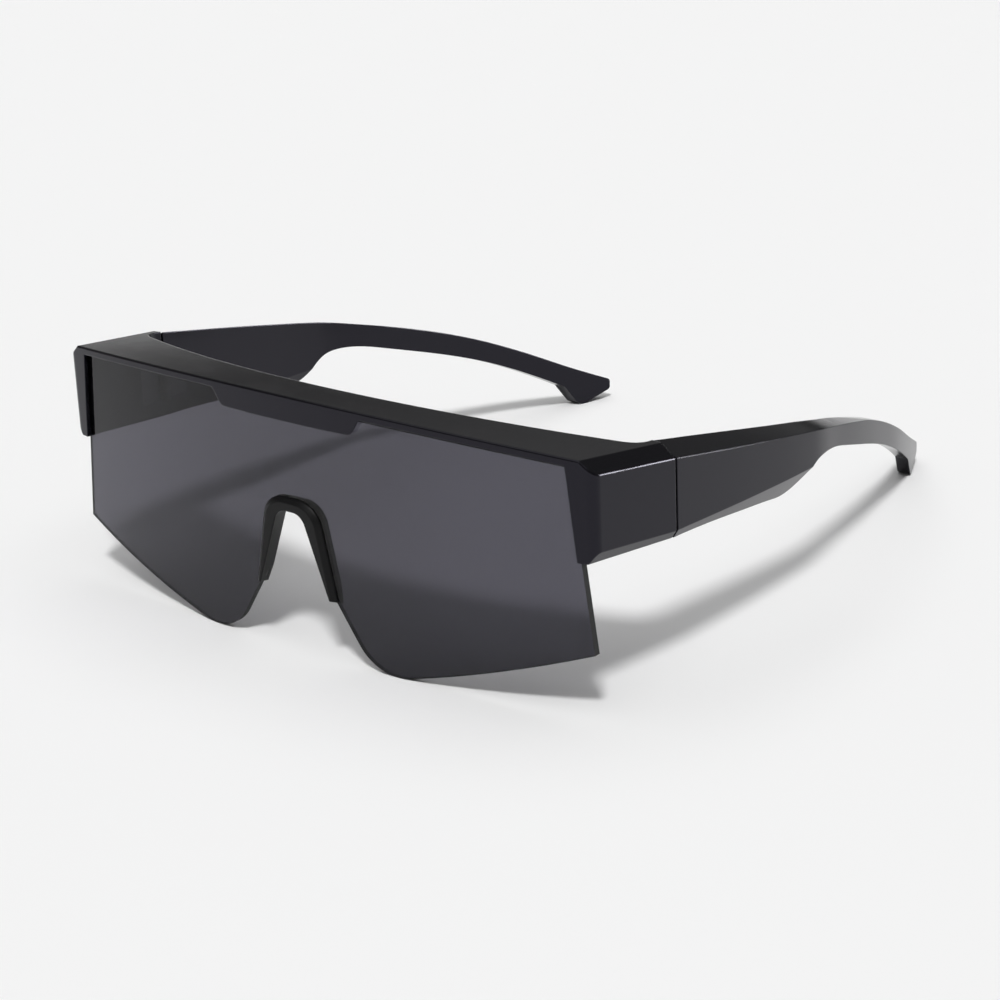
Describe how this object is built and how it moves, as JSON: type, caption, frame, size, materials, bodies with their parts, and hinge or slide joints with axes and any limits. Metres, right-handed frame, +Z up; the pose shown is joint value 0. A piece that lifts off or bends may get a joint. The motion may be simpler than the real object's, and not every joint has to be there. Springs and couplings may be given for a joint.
{
  "type": "fitover sunglasses",
  "caption": "Half-rim shield sunglasses that fit over spectacles, with a one-piece grey lens, a gloss black browline, flared end pieces, a rubber nose piece and folding curved temples.",
  "frame": {"origin": "middle of the bounding box on the ground plane that the lens and the temple tips stand on", "axes": "+X to the wearer's left, +Y from the lens towards the temple tips, +Z up"},
  "size_m": [0.151, 0.173, 0.0578],
  "materials": {
    "frame_gloss": "gloss",
    "lens_tint": "gloss",
    "nose_rubber": "matte",
    "hinge_steel": "brushed"
  },
  "bodies": {
    "front": {"front_frame": "frame_gloss", "lens": "lens_tint", "nose_piece": "nose_rubber", "front_hinge_leaf_left": "hinge_steel", "front_hinge_leaf_right": "hinge_steel", "hinge_screw_left": "hinge_steel", "hinge_screw_right": "hinge_steel"},
    "left_temple": {"temple_left": "frame_gloss", "temple_hinge_leaf_left": "hinge_steel"},
    "right_temple": {"temple_right": "frame_gloss", "temple_hinge_leaf_right": "hinge_steel"}
  },
  "joints": [
    {"name": "left_temple_fold", "type": "hinge", "parent": "front", "child": "left_temple", "pos_m": [0.0695, -0.0527, 0.03972], "axis": [0, 0, 1], "range_deg": [0, 90]},
    {"name": "right_temple_fold", "type": "hinge", "parent": "front", "child": "right_temple", "pos_m": [-0.0695, -0.0527, 0.03972], "axis": [0, 0, -1], "range_deg": [0, 80]}
  ]
}
